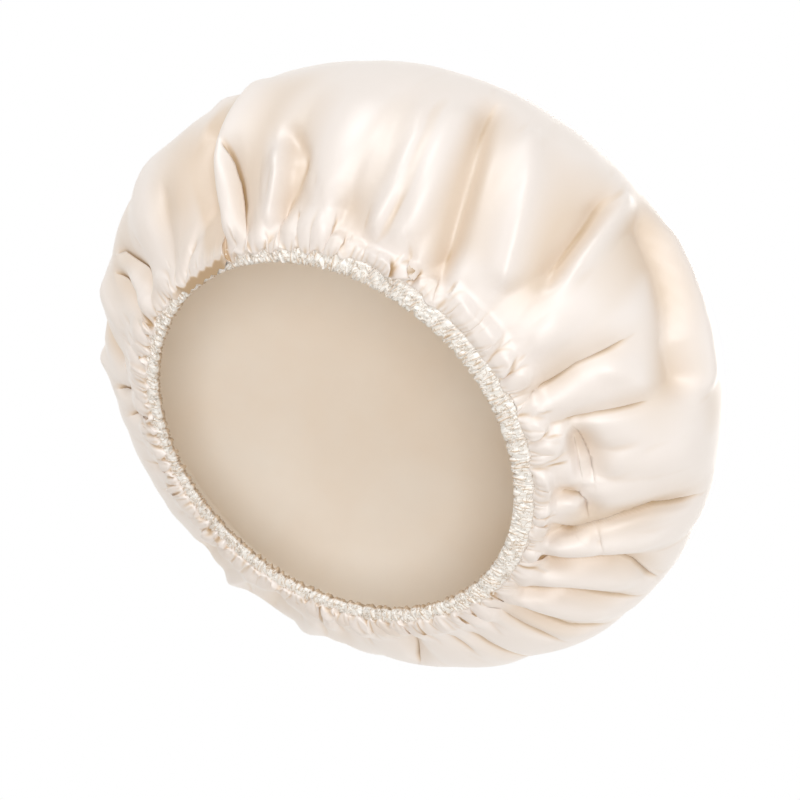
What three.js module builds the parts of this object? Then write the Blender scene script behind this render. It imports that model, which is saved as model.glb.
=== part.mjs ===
// A lined, elasticated bouffant shower cap, lying crown up with its head opening on the table.
//
// Millimetres, +Z up. The origin is the centre of the head opening, in the flat plane that the
// gathered rim stands on. Every layer is laid out by three values: its azimuth, its run (the
// length along the side from the opening's inner edge towards the crown) and its lift (the
// distance outwards from the outer fabric's face).

import * as THREE from 'three';

// The body, to the outer fabric's face
const BODY_RADIUS = 140;
const OPENING_RADIUS = 83.6;
const SIDE_HEIGHT = 54.6;
const CROWN_HEIGHT = 70;
const ROUNDNESS = 2.2;

// How far the soft body leans off the opening: its shift, and how much its widest level dips at +Y
const BODY_SHIFT_X = 4.5;
const BODY_SHIFT_Y = -3.4;
const BODY_DIP = 10.8;

// Layers
const SHELL_THICKNESS = 0.8;
const LINING_THICKNESS = 0.6;
const CASING_THICKNESS = 0.8;
const LAYER_GAP = 0.3;
const LINING_DROP = 12;
const LINING_EASE = 20;

// Elastic and thread
const ELASTIC_WIDTH = 5;
const ELASTIC_THICKNESS = 0.7;
const ELASTIC_LAP_GAP = 0.3;
const ELASTIC_LAP_LENGTH = 18;
const LAP_AZIMUTH = 90;
const THREAD_RADIUS = 0.15;
const THREAD_GAP = 0.15;
const TACK_PITCH = 2.5;
const TACK_TURNS = 5;

// Casing: what it holds of the fabric's edges, its pleats, and the flat it stands on
const SEAM_ALLOWANCE = 2.4;
const PLEAT_DEPTH = 0.4;
const PLEATS = 56;
const FLAT_CUT = 0.5;

// Folds and gathers of the outer fabric
const FOLD_DEPTH = 8;
const GATHER_DEPTH = 1.1;
const GATHER_END_SHARE = 0.5;
const FOLD_FADE_SHARE = 0.22;

// The outer fabric's main folds, in order round the cap. The first three numbers are degrees: the
// azimuth of the fold's lower end, that of its upper end, and its half width. Then its lower and
// upper end as shares of the side's length, and its depth as a share of FOLD_DEPTH, where a
// valley is negative.
const FOLD_SHARES = [
  [0, 1, 6, 0.1, 0.7, 0.3],
  [6.5, 9, 6, 0.12, 0.6, -0.3],
  [20, 20, 11, 0.3, 0.7, -0.5],
  [34.5, 42.5, 7, 0.14, 0.58, -0.5],
  [45, 50, 6, 0.1, 0.5, 0.35],
  [63, 69, 7, 0.2, 0.65, 0.35],
  [74, 77, 6, 0.1, 0.6, -0.35],
  [81, 88, 7, 0.12, 0.77, 0.35],
  [94, 96, 7, 0.1, 0.7, -0.4],
  [118, 121, 6, 0.12, 0.5, -0.4],
  [135.5, 131, 7, 0.1, 0.9, -0.5],
  [142, 138, 5, 0.2, 0.5, -0.35],
  [145.5, 149, 8, 0.3, 0.9, -0.8],
  [157, 158, 6, 0.1, 0.7, 0.3],
  [167.5, 164, 6, 0.1, 0.6, -0.4],
  [174.5, 168, 6, 0.1, 0.65, -0.4],
  [186.5, 189, 6, 0.13, 0.65, -0.35],
  [203, 200, 8, 0.12, 1.05, -1],
  [212, 208, 6, 0.15, 0.95, 0.4],
  [219, 221, 6, 0.15, 0.6, 0.5],
  [226, 222, 5, 0.15, 0.6, -0.3],
  [243, 241.5, 6, 0.1, 0.88, -0.4],
  [265, 250, 7, 0.08, 1, -0.6],
  [269, 254, 6, 0.3, 1, 0.4],
  [279, 275, 6, 0.5, 1.05, -0.4],
  [276, 280, 6, 0.6, 1.15, 0.4],
  [300, 290, 17, 0.5, 1.15, -0.35],
  [300, 295.5, 6, 0.06, 0.65, -0.5],
  [305.5, 308, 6, 0.25, 0.7, 0.4],
  [318, 318, 7, 0.15, 0.5, 0.3],
  [326, 332, 6, 0.12, 0.38, -0.4],
  [340, 331.5, 6, 0.08, 0.95, -0.6],
  [343, 339, 6, 0.1, 0.8, 0.35],
  [346.5, 350, 6, 0.12, 0.9, -0.6],
  [354, 355, 6, 0.08, 0.82, -0.45],
];

// Where the fabric's rings of points lie: shares of the side's length, then of the crown's
const SIDE_RING_SHARES = [0.24, 0.42, 0.66, 1];
const CROWN_RING_SHARES = [0.15, 0.36, 0.66];
const SHELL_COLUMNS = 68;
const LINING_COLUMNS = 56;
const ELASTIC_STEPS = 72;
const PROFILE_STEPS = 240;

// Sizes that follow from those
const threadSpace = 2 * (THREAD_RADIUS + THREAD_GAP);
const lapStack = 2 * ELASTIC_THICKNESS + ELASTIC_LAP_GAP;
const slotTop = LAYER_GAP;
const slotBottom = slotTop - lapStack - 2 * threadSpace;
const slotMiddle = (slotTop + slotBottom) / 2;
const casingOutside = slotTop + CASING_THICKNESS;
const casingInside = slotBottom - CASING_THICKNESS;
const elasticStart = CASING_THICKNESS + threadSpace;
const elasticEnd = elasticStart + ELASTIC_WIDTH;
const fabricEdge = elasticEnd + threadSpace + LAYER_GAP;
const casingWidth = fabricEdge + SEAM_ALLOWANCE;
const stitchRun = fabricEdge + SEAM_ALLOWANCE / 2;
const liningFace = slotBottom + LAYER_GAP + LINING_THICKNESS;

const COLOURS = {
  satin: { color: 0xf1e4da, roughness: 0.42, metalness: 0 },
  film: { color: 0xe4d2bd, roughness: 0.6, metalness: 0 },
  elastic: { color: 0xf2eee6, roughness: 0.85, metalness: 0 },
  thread: { color: 0xf3e9df, roughness: 0.6, metalness: 0 },
};

const smooth = (share) => THREE.MathUtils.smoothstep(share, 0, 1);
const radians = THREE.MathUtils.degToRad;

// The side's profile as a row of points from the opening's edge over the widest level to the
// crown: two quarters of a superellipse, with the length run so far kept beside each point.
function profilePoints() {
  const power = 2 / ROUNDNESS;
  const cut = (1 - (OPENING_RADIUS / BODY_RADIUS) ** ROUNDNESS) ** (1 / ROUNDNESS);
  const points = [];
  for (let i = 0; i < PROFILE_STEPS; i++) {
    const share = i / PROFILE_STEPS;
    const r = BODY_RADIUS * (1 - (cut * (1 - share)) ** ROUNDNESS) ** (1 / ROUNDNESS);
    points.push({ r, z: SIDE_HEIGHT * share });
  }
  for (let i = 0; i <= PROFILE_STEPS; i++) {
    const angle = (i / PROFILE_STEPS) * Math.PI / 2;
    const r = i < PROFILE_STEPS ? BODY_RADIUS * Math.cos(angle) ** power : 0;
    points.push({ r, z: SIDE_HEIGHT + CROWN_HEIGHT * Math.sin(angle) ** power });
  }
  points[0].run = 0;
  for (let i = 1; i < points.length; i++) {
    const step = Math.hypot(points[i].r - points[i - 1].r, points[i].z - points[i - 1].z);
    points[i].run = points[i - 1].run + step;
  }
  return points;
}

const profile = profilePoints();
const sideLength = profile[PROFILE_STEPS].run;
const fullLength = profile[profile.length - 1].run;
const crownLength = fullLength - sideLength;

// A point of the profile, and the direction that points out of the fabric there
function profileAt(run) {
  let i = 1;
  while (i < profile.length - 1 && profile[i].run < run) i++;
  const a = profile[i - 1];
  const b = profile[i];
  const share = (run - a.run) / (b.run - a.run);
  const along = b.run - a.run;
  return {
    r: a.r + (b.r - a.r) * share,
    z: a.z + (b.z - a.z) * share,
    outR: (b.z - a.z) / along,
    outZ: (a.r - b.r) / along,
  };
}

// A pleat's crest lies on every second column of the casing
const pleatAt = (column) => (column % 2 === 0 ? PLEAT_DEPTH : 0);

// The casing's folded section as [run, lift] pairs: out along its outer face, round the fold at
// the opening's edge, back along its inner face, and round the slot that holds the elastic.
function casingSection(pleat) {
  const outside = casingOutside + pleat;
  const inside = casingInside - pleat;
  const half = (outside - inside) / 2;
  const middle = (outside + inside) / 2;
  const section = [[casingWidth, outside]];
  for (const degrees of [90, 67.5, 40, 0, -40, -90]) {
    const angle = radians(degrees);
    section.push([half * (1 - Math.cos(angle)), middle + half * Math.sin(angle)]);
  }
  section.push([casingWidth, inside], [casingWidth, slotBottom], [CASING_THICKNESS, slotBottom]);
  section.push([CASING_THICKNESS, slotTop], [casingWidth, slotTop]);
  return section;
}

function heightAt(run, lift) {
  const at = profileAt(run);
  return at.z + lift * at.outZ;
}

// The opening's edge is raised until the pleats stand FLAT_CUT deep in the table's plane
const lowest = Math.min(...casingSection(PLEAT_DEPTH).map(([run, lift]) => heightAt(run, lift)));
const rimLift = -lowest - FLAT_CUT;

function place(azimuth, run, lift) {
  const at = profileAt(run);
  const radius = at.r + lift * at.outR;
  const share = Math.min(at.z / SIDE_HEIGHT, 1);
  const x = radius * Math.cos(azimuth) + BODY_SHIFT_X * share;
  const y = radius * Math.sin(azimuth) + BODY_SHIFT_Y * share;
  const z = rimLift + at.z + lift * at.outZ - BODY_DIP * share * (y / BODY_RADIUS);
  return new THREE.Vector3(x, y, z);
}

// How far the folds lift the outer fabric at one place
function foldLift(azimuth, run) {
  const height = run / sideLength;
  const degrees = THREE.MathUtils.radToDeg(azimuth);
  let lift = 0;
  for (const [lowAzimuth, highAzimuth, halfWidth, low, high, depthShare] of FOLD_SHARES) {
    const share = (height - low) / (high - low);
    if (share <= 0 || share >= 1) continue;
    const centre = lowAzimuth + (highAzimuth - lowAzimuth) * share;
    const apart = THREE.MathUtils.euclideanModulo(degrees - centre + 180, 360) - 180;
    const across = Math.max(0, 1 - (apart / halfWidth) ** 2) ** 2;
    const fade = smooth(share / FOLD_FADE_SHARE) * smooth((1 - share) / FOLD_FADE_SHARE);
    lift += FOLD_DEPTH * depthShare * across * fade;
  }
  return lift;
}

function gatherLift(column, run) {
  const fade = smooth((GATHER_END_SHARE - run / sideLength) / GATHER_END_SHARE);
  return (column % 2 === 0 ? GATHER_DEPTH : -GATHER_DEPTH) * fade;
}

// A solid from its points and triangles, with its faces turned outwards
function solidFrom(points, faces) {
  let volume = 0;
  for (const [a, b, c] of faces) {
    volume += points[a].dot(new THREE.Vector3().crossVectors(points[b], points[c]));
  }
  const geometry = new THREE.BufferGeometry();
  const numbers = points.flatMap((point) => point.toArray());
  geometry.setAttribute('position', new THREE.Float32BufferAttribute(numbers, 3));
  geometry.setIndex(faces.flatMap(([a, b, c]) => (volume > 0 ? [a, b, c] : [a, c, b])));
  geometry.computeVertexNormals();
  return geometry;
}

// The four-sided patch of faces between two rows of points of one length
function band(faces, first, second, count, closed) {
  for (let i = 0; i < (closed ? count : count - 1); i++) {
    const next = (i + 1) % count;
    faces.push([first + i, second + i, second + next], [first + i, second + next, first + next]);
  }
}

// A bar through a row of sections, each a ring of points; it closes on itself or has flat ends
function barThrough(sections, closed) {
  const sides = sections[0].length;
  const faces = [];
  for (let i = 0; i < (closed ? sections.length : sections.length - 1); i++) {
    band(faces, i * sides, ((i + 1) % sections.length) * sides, sides, true);
  }
  if (!closed) {
    const last = (sections.length - 1) * sides;
    for (let i = 1; i < sides - 1; i++) {
      faces.push([0, i, i + 1], [last, last + i + 1, last + i]);
    }
  }
  return solidFrom(sections.flat(), faces);
}

// A dome of cloth: an outer and an inner skin over the same rings, joined round the lower edge
function clothDome(columns, runs, liftAt, thickness) {
  const points = [];
  for (const depth of [0, thickness]) {
    for (const run of runs) {
      for (let column = 0; column < columns; column++) {
        const azimuth = (column / columns) * 2 * Math.PI;
        points.push(place(azimuth, run, liftAt(column, azimuth, run) - depth));
      }
    }
    points.push(place(0, fullLength, liftAt(0, 0, fullLength) - depth));
  }
  const skin = runs.length * columns + 1;
  const faces = [];
  for (let ring = 0; ring < runs.length - 1; ring++) {
    band(faces, ring * columns, (ring + 1) * columns, columns, true);
    band(faces, skin + (ring + 1) * columns, skin + ring * columns, columns, true);
  }
  band(faces, skin, 0, columns, true);
  const top = (runs.length - 1) * columns;
  for (let column = 0; column < columns; column++) {
    const next = (column + 1) % columns;
    faces.push([top + column, skin - 1, top + next]);
    faces.push([skin + top + column, skin + top + next, 2 * skin - 1]);
  }
  return solidFrom(points, faces);
}

const fabricRuns = [
  fabricEdge,
  casingWidth + LAYER_GAP,
  ...SIDE_RING_SHARES.map((share) => share * sideLength),
  ...CROWN_RING_SHARES.map((share) => sideLength + share * crownLength),
];

function outerShell() {
  const liftAt = (column, azimuth, run) => {
    if (run <= casingWidth + LAYER_GAP || run >= fullLength) return 0;
    return foldLift(azimuth, run) + gatherLift(column, run);
  };
  return clothDome(SHELL_COLUMNS, fabricRuns, liftAt, SHELL_THICKNESS);
}

function innerLining() {
  const liftAt = (column, azimuth, run) =>
    liningFace - LINING_DROP * smooth((run - casingWidth - LAYER_GAP) / LINING_EASE);
  return clothDome(LINING_COLUMNS, fabricRuns, liftAt, LINING_THICKNESS);
}

function rimCasing() {
  const sections = [];
  for (let column = 0; column < 2 * PLEATS; column++) {
    const azimuth = (column / PLEATS) * Math.PI;
    sections.push(casingSection(pleatAt(column)).map(([run, lift]) => {
      const point = place(azimuth, run, lift);
      point.z = Math.max(point.z, 0);
      return point;
    }));
  }
  return barThrough(sections, true);
}

// One flat strip whose ends lap, so it winds from the lower layer of the lap to the upper one
function elasticBand() {
  const lapAngle = ELASTIC_LAP_LENGTH / OPENING_RADIUS;
  const start = radians(LAP_AZIMUTH) - lapAngle / 2;
  const sweep = 2 * Math.PI + lapAngle;
  const climb = ELASTIC_THICKNESS + ELASTIC_LAP_GAP;
  const half = ELASTIC_THICKNESS / 2;
  const sections = [];
  for (let step = 0; step <= ELASTIC_STEPS; step++) {
    const share = step / ELASTIC_STEPS;
    const azimuth = start + sweep * share;
    const middle = slotMiddle + climb * (share - 1 / 2);
    sections.push([
      place(azimuth, elasticStart, middle - half),
      place(azimuth, elasticEnd, middle - half),
      place(azimuth, elasticEnd, middle + half),
      place(azimuth, elasticStart, middle + half),
    ]);
  }
  return barThrough(sections, false);
}

// The thread that holds the lap: square turns round both layers of elastic
function elasticTack() {
  const runMiddle = (elasticStart + elasticEnd) / 2;
  const turn = TACK_PITCH / OPENING_RADIUS;
  const start = radians(LAP_AZIMUTH) - (turn * TACK_TURNS) / 2;
  const halfAngle = THREAD_RADIUS / OPENING_RADIUS;
  const corners = [[-1, 1], [1, 1], [1, -1], [-1, -1]];
  const sections = [];
  for (let i = 0; i <= TACK_TURNS * corners.length; i++) {
    const [alongRun, alongLift] = corners[i % corners.length];
    const azimuth = start + (turn * i) / corners.length;
    const cornerAt = (turnAzimuth, out) => place(
      turnAzimuth,
      runMiddle + alongRun * (ELASTIC_WIDTH / 2 + THREAD_GAP + out),
      slotMiddle + alongLift * (lapStack / 2 + THREAD_GAP + out),
    );
    sections.push([
      cornerAt(azimuth - halfAngle, 0),
      cornerAt(azimuth + halfAngle, 0),
      cornerAt(azimuth + halfAngle, 2 * THREAD_RADIUS),
      cornerAt(azimuth - halfAngle, 2 * THREAD_RADIUS),
    ]);
  }
  return barThrough(sections, false);
}

// A row of stitches along one face of the casing, following its pleats
function stitchRow(face, side) {
  const sections = [];
  for (let column = 0; column < 2 * PLEATS; column++) {
    const azimuth = (column / PLEATS) * Math.PI;
    const middle = face + side * (pleatAt(column) + THREAD_GAP + THREAD_RADIUS);
    sections.push([
      place(azimuth, stitchRun - THREAD_RADIUS, middle),
      place(azimuth, stitchRun, middle + THREAD_RADIUS),
      place(azimuth, stitchRun + THREAD_RADIUS, middle),
      place(azimuth, stitchRun, middle - THREAD_RADIUS),
    ]);
  }
  return barThrough(sections, true);
}

const cap = new THREE.Group();

function addPiece(name, geometry, colour) {
  const mesh = new THREE.Mesh(geometry, new THREE.MeshStandardMaterial(colour));
  mesh.name = name;
  cap.add(mesh);
}

addPiece('outer_shell', outerShell(), COLOURS.satin);
addPiece('inner_lining', innerLining(), COLOURS.film);
addPiece('rim_casing', rimCasing(), COLOURS.satin);
addPiece('elastic_band', elasticBand(), COLOURS.elastic);
addPiece('elastic_tack', elasticTack(), COLOURS.thread);
addPiece('needle_thread', stitchRow(casingOutside, 1), COLOURS.thread);
addPiece('bobbin_thread', stitchRow(casingInside, -1), COLOURS.thread);

export default cap;
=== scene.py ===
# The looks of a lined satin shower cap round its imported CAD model: the gathered outer fabric, the
# smooth lining, the finely pleated casing, its stitches and the elastic inside it.
#
# Metres, with +Z out of the crown. As in the CAD model, every layer is laid out by its azimuth,
# its run (the length along the side from the opening's inner edge towards the crown) and its
# lift (the distance outwards from the outer fabric's face).

from math import pi, radians

import bpy
import numpy as np
from mathutils import Matrix, Vector, noise as solid_noise


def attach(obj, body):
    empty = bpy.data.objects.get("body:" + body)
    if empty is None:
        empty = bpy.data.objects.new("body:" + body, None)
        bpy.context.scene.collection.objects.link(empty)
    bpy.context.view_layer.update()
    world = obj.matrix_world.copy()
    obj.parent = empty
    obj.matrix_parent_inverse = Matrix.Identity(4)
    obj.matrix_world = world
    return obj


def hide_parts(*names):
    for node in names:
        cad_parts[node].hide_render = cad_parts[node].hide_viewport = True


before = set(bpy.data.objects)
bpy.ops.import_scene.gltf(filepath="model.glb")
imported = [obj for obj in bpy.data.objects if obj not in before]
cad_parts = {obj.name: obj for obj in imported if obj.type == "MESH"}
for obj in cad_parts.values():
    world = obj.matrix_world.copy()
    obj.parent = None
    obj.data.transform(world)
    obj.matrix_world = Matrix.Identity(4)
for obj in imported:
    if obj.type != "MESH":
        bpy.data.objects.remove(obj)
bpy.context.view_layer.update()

# The body, as in the CAD model
BODY_RADIUS = 0.140
OPENING_RADIUS = 0.0836
SIDE_HEIGHT = 0.0546
CROWN_HEIGHT = 0.070
ROUNDNESS = 2.2
BODY_SHIFT_X = 0.0045
BODY_SHIFT_Y = -0.0034
BODY_DIP = 0.0108
RIM_LIFT = 0.00024
PROFILE_STEPS = 240

# The casing and what it holds, as in the CAD model
CASING_WIDTH = 0.0097
CASING_OUTSIDE = 0.0011
CASING_INSIDE = -0.0030
STITCH_RUN = 0.0080
ELASTIC_COVER = 0.0003
LINING_FACE = -0.0023
LINING_DROP = 0.012
LINING_EASE = 0.020

# The camera, which looks up into the cap from below its rim
CAMERA_LENS = 100
CAMERA_SENSOR = 36
CAMERA_ELEVATION = radians(47)
CAMERA_ROLL = radians(42.3)
OPENING_FROM_CAMERA = Vector((-0.0294, -0.0181, -0.9128))

# Light: cool lamps and warm light all round, at a level that keeps the colours as written. A
# lamp's azimuth is 0 at the photograph's side, and its angle says how soft its shadows are.
AMBIENT_STRENGTH = 0.42
AMBIENT_COLOUR = (1.0, 0.92, 0.81)
LAMPS = {
    "key_lamp": {"azimuth": -45, "elevation": -14, "strength": 0.96, "angle": 20,
                 "colour": (0.88, 0.94, 1.0)},
    "front_lamp": {"azimuth": 0, "elevation": -48, "strength": 1.08, "angle": 20,
                   "colour": (0.95, 0.97, 1.0)},
    "under_lamp": {"azimuth": 108, "elevation": -55, "strength": 0.48, "angle": 60,
                   "colour": (0.94, 0.97, 1.0)},
    "side_lamp": {"azimuth": 62, "elevation": -3, "strength": 0.50, "angle": 60,
                  "colour": (0.90, 0.95, 1.0)},
    "back_lamp": {"azimuth": 180, "elevation": 47, "strength": 0.60, "angle": 160,
                  "colour": (1.0, 0.97, 0.92)},
    "top_lamp": {"azimuth": 150, "elevation": 66, "strength": 1.10, "angle": 40,
                 "colour": (1.0, 0.99, 0.97)},
}
FLOOR_SIZE = 6.0
FLOOR_COLOUR = (250, 249, 247)
FLOOR_ROUGHNESS = 0.9

# How far the floor lies below the rim's plane, and how far down that gap each layer may reach
FLOOR_GAP = 0.0018
CASING_LOWEST_SHARE = 0.3
SHELL_LOWEST_SHARE = 0.8

# The outer fabric's grid, and the disc it was cut from
SHELL_START = 0.0082
SHELL_COLUMNS = 600
SHELL_ROWS = 76
SHELL_CROWN_END = 0.2535
STEEPEST_DIP = 0.5
SHELL_SINK = 0.0004
REFINE_COLUMNS = 3
REFINE_ROWS = 3
SHELL_EVENNESS = 0.3

# How much longer the fabric is than the round body that it lies on, at each run
EXCESS_RUNS = (0.008, 0.016, 0.030, 0.050, 0.070, 0.085, 0.110, 0.150, 0.190)
EXCESS_SHARES = (0.40, 0.33, 0.22, 0.14, 0.10, 0.075, 0.045, 0.02, 0.0)

# The random values that wander smoothly round the cap: each one's size, its fewest and its most
# waves in a turn, and its seed
WANDERS = {
    "gather_place": (1.6, 3, 14, 10),
    "gather_slant": (1, 2, 9, 20),
    "gather_size": (0.4, 4, 20, 30),
    "crown_place": (1.8, 2, 9, 72),
    "crown_slant": (1, 2, 7, 73),
    "crown_end": (0.018, 3, 12, 74),
    "crown_size": (0.5, 3, 12, 75),
    "petal_place": (0.45, 4, 26, 41),
    "petal_slant": (1, 6, 30, 43),
    "petal_edge": (1, 12, 60, 45),
    "cover_edge": (1, 40, 120, 44),
    "lining_gather_place": (1.5, 3, 12, 51),
    "lining_slack": (0.0012, 3, 8, 52),
    "pleat_place": (2.2, 10, 60, 61),
    "pleat_slant": (22, 2, 7, 69),
    "pleat_fine_slant": (8, 20, 90, 62),
    "pleat_bend": (1, 40, 150, 63),
    "pleat_size": (0.4, 40, 120, 64),
    "cluster_place": (2, 6, 30, 65),
    "crumb_place": (3, 30, 140, 66),
    "crumb_crossing": (3, 10, 50, 67),
    "casing_wave": (1, 60, 210, 68),
}

# Gathers: how many go round, the run where they are deepest, where they end, and their depth
GATHERS = (
    (80, 0.0120, 0.024, 0.0010),
    (42, 0.0180, 0.038, 0.0018),
    (24, 0.0340, 0.070, 0.0010),
    (12, 0.0700, 0.130, 0.0012),
)
GATHER_SLANT = 30

# The crown: long folds that run up from the side and die out, and soft waves where it lies slack
CROWN_FROM = 0.105
CROWN_WHOLLY = 0.150
CROWN_FOLDS = 13
CROWN_FOLD_DEPTH = 0.0024
CROWN_FOLD_END = 0.215
CROWN_FOLD_FADE = 0.075
CROWN_SLANT = 14
CROWN_SIZE = 0.8
CROWN_LEAST_SIZE = 0.1
CROWN_MOST_SIZE = 1.4
CROWN_SLACK = 0.0007
CROWN_SEED = 71
CROWN_WAVES = 16
CROWN_SHORTEST = 0.045
CROWN_LONGEST = 0.120

# The folds that show in the photograph, in order round the cap. Each has the width of its left
# and its right side as shares of FOLD_WIDTH, its lift as a share of FOLD_DEPTH (a valley is
# negative), how crisp it is from 0 to 1, and the points that it follows, each its azimuth in
# degrees and its run as a share of the side's length.
FOLD_WIDTH = 0.010
FOLD_DEPTH = 0.0075
FOLD_ENDS = 0.012
FOLD_END_SHARE = 0.3
CRISP_POWER = 1.7
FOLD_SHARES = (
    (0.6, 0.6, -0.6, 1, ((1, 0.06), (2.5, 0.12), (3.5, 0.36), (4.5, 0.6), (3.5, 0.78))),
    (0.5, 0.5, -0.45, 1, ((6.5, 0.12), (8, 0.36), (9, 0.62))),
    (0.4, 0.4, -0.35, 1, ((11, 0.08), (13, 0.3))),
    (0.4, 0.4, -0.3, 1, ((15, 0.08), (17, 0.25))),
    (0.7, 0.7, -0.5, 1, ((20, 0.25), (21, 0.5), (22, 0.75))),
    (0.5, 0.5, -0.4, 1, ((25.5, 0.18), (25.5, 0.45))),
    (0.7, 0.7, -0.6, 1, ((34.5, 0.14), (38, 0.36), (40, 0.46), (42.5, 0.58))),
    (0.6, 0.6, 0.4, 0, ((47, 0.08), (50, 0.26))),
    (0.6, 0.6, 0.4, 0, ((58, 0.12), (59, 0.3))),
    (0.9, 0.9, 0.5, 0, ((63, 0.2), (67, 0.47), (69, 0.68))),
    (0.8, 0.8, -0.4, 0.6, ((74, 0.1), (77, 0.6))),
    (0.9, 0.6, 0.5, 0.6, ((81, 0.12), (87, 0.47), (88, 0.8))),
    (0.8, 0.8, -0.4, 0.6, ((94, 0.1), (96, 0.7))),
    (0.5, 0.5, -0.4, 1, ((104, 0.09), (104, 0.22))),
    (0.6, 0.6, -0.5, 1, ((118, 0.13), (120, 0.3))),
    (0.6, 0.6, -0.6, 1, ((135.5, 0.1), (132, 0.36))),
    (0.6, 0.6, -0.5, 1, ((142, 0.22), (139, 0.32), (137, 0.48))),
    (1.0, 0.7, 0.4, 0.5, ((141, 0.6), (140, 0.9))),
    (1.0, 0.8, -0.7, 1, ((145.5, 0.3), (148, 0.42), (150, 0.54), (150, 0.66), (148, 0.8))),
    (0.5, 0.5, -0.4, 1, ((156, 0.1), (155, 0.24))),
    (1.0, 1.0, 0.4, 0, ((159, 0.3), (158, 0.7))),
    (0.8, 0.8, -0.5, 1, ((167, 0.12), (167.5, 0.24), (167, 0.42), (164, 0.56))),
    (0.6, 0.6, 0.3, 0.3, ((171, 0.12), (171.5, 0.4))),
    (0.6, 0.8, -0.5, 1, ((174.5, 0.13), (176, 0.3), (173, 0.42), (170, 0.55), (166.5, 0.62))),
    (1.6, 2.0, 0.4, 0, ((182, 0.35), (182, 0.95))),
    (0.9, 0.9, -0.4, 0.7, ((186.5, 0.13), (188.5, 0.42), (189, 0.62))),
    (3.4, 0.8, -1.4, 0.3, ((205, 0.12), (204, 0.35), (203, 0.6), (202, 0.85))),
    (1.0, 0.8, 0.35, 0.3, ((197, 0.95), (198, 1.15))),
    (0.5, 2.0, 0.75, 0.5,
     ((208.5, 0.13), (207, 0.36), (206.5, 0.5), (207, 0.62), (208, 0.75), (208.8, 0.9), (209, 1.0))),
    (0.4, 0.8, -0.6, 1, ((213, 0.12), (212.5, 0.24), (211.5, 0.38), (210, 0.48), (207.5, 0.6))),
    (1.0, 0.6, 0.75, 0.9, ((219.5, 0.15), (221, 0.3), (221.5, 0.42), (220, 0.56))),
    (0.9, 0.5, -0.6, 0.85,
     ((221.5, 0.12), (226, 0.35), (227, 0.44), (226.2, 0.5), (223, 0.57), (219.5, 0.62))),
    (2.2, 2.2, 0.4, 0, ((233, 0.3), (234, 0.86))),
    (1.2, 1.0, -0.4, 0.3, ((243, 0.14), (240, 0.28), (237, 0.4))),
    (0.8, 0.8, -0.25, 0.5, ((239, 0.12), (237, 0.34))),
    (1.0, 0.6, 0.35, 0.9, ((243, 0.2), (245.5, 0.3), (246, 0.45), (244.5, 0.7), (241.5, 0.88))),
    (0.6, 0.8, -0.3, 0.8, ((244.5, 0.1), (248, 0.24), (248.5, 0.45))),
    (1.2, 1.0, 0.4, 0, ((251, 0.2), (251, 0.5), (248, 0.95))),
    (0.4, 0.4, -0.35, 1, ((259, 0.08), (253, 0.27))),
    (1.6, 0.7, -0.8, 0.9,
     ((265, 0.08), (261, 0.36), (259, 0.48), (256, 0.66), (253, 0.85), (250.5, 1.05))),
    (1.3, 0.9, 0.65, 1, ((275, 0.34), (271.5, 0.47), (268, 0.6), (263, 0.8), (258, 0.98))),
    (2.8, 0.6, -0.85, 0.9, ((280, 0.46), (279, 0.54), (277, 0.74), (274.5, 1.0))),
    (0.4, 0.9, 0.5, 0.7, ((280, 0.56), (278.5, 0.75), (277, 1.1))),
    (1.0, 3.0, -1.15, 0.9, ((279.7, 1.1), (290, 1.0), (296, 0.93), (301, 0.85), (310.5, 0.83))),
    (0.8, 0.8, 0.5, 0, ((284, 1.15), (294, 1.08), (304, 1.0), (313, 0.95))),
    (1.2, 1.2, 0.35, 0, ((287, 0.25), (287, 0.5))),
    (1.0, 0.8, -0.45, 1, ((300, 0.06), (296.5, 0.24), (295, 0.42), (295.5, 0.66))),
    (1.0, 0.6, 0.35, 0.7, ((297.5, 0.5), (302, 0.6), (307.5, 0.68))),
    (0.9, 0.5, -0.4, 1, ((305.5, 0.26), (306, 0.42), (308, 0.66))),
    (2.2, 2.2, 0.35, 0, ((318, 0.55), (320, 0.85))),
    (0.9, 0.5, -0.9, 1, ((307.5, 0.31), (312, 0.34), (317, 0.365), (322.5, 0.365))),
    (0.8, 0.4, -0.8, 1, ((308, 0.30), (314, 0.305), (322, 0.31))),
    (0.8, 0.5, -0.75, 1, ((326, 0.15), (324.5, 0.23), (324.8, 0.3), (327, 0.34), (332, 0.35))),
    (0.8, 0.6, -0.75, 1, ((340, 0.08), (335, 0.26), (331, 0.5), (329.5, 0.66), (331.5, 0.92))),
    (0.3, 0.3, -0.4, 1, ((333.5, 0.1), (334, 0.2), (336, 0.3))),
    (0.3, 0.4, -0.35, 1, ((333.5, 0.4), (340, 0.45))),
    (0.8, 0.8, 0.35, 0, ((340, 0.18), (337, 0.72))),
    (0.6, 0.9, -0.7, 1, ((346.5, 0.13), (342, 0.44), (341, 0.54), (343, 0.65), (350, 0.87))),
    (0.7, 0.7, 0.3, 0, ((349.5, 0.18), (347.5, 0.7))),
    (0.7, 0.6, -0.65, 1,
     ((353.5, 0.08), (357.5, 0.19), (352.5, 0.38), (352, 0.48), (354, 0.8))),
    (0.7, 0.7, 0.35, 0, ((359, 0.18), (358, 0.7))),
)

# How the fabric laps over itself along a crisp crease, and how widely the solver is guided there
LAP_WIDTH = 0.0009
LAP_HEIGHT = 0.0013
LAP_REACH = 0.0026
LAP_SIZE = 1.6
LAP_TAIL = 3
LAP_SPREAD = 6 * LAP_WIDTH
LAPS_FROM = 0.014
LAPS_RISE = 0.012
GUIDE_WIDTH = 0.0035

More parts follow.
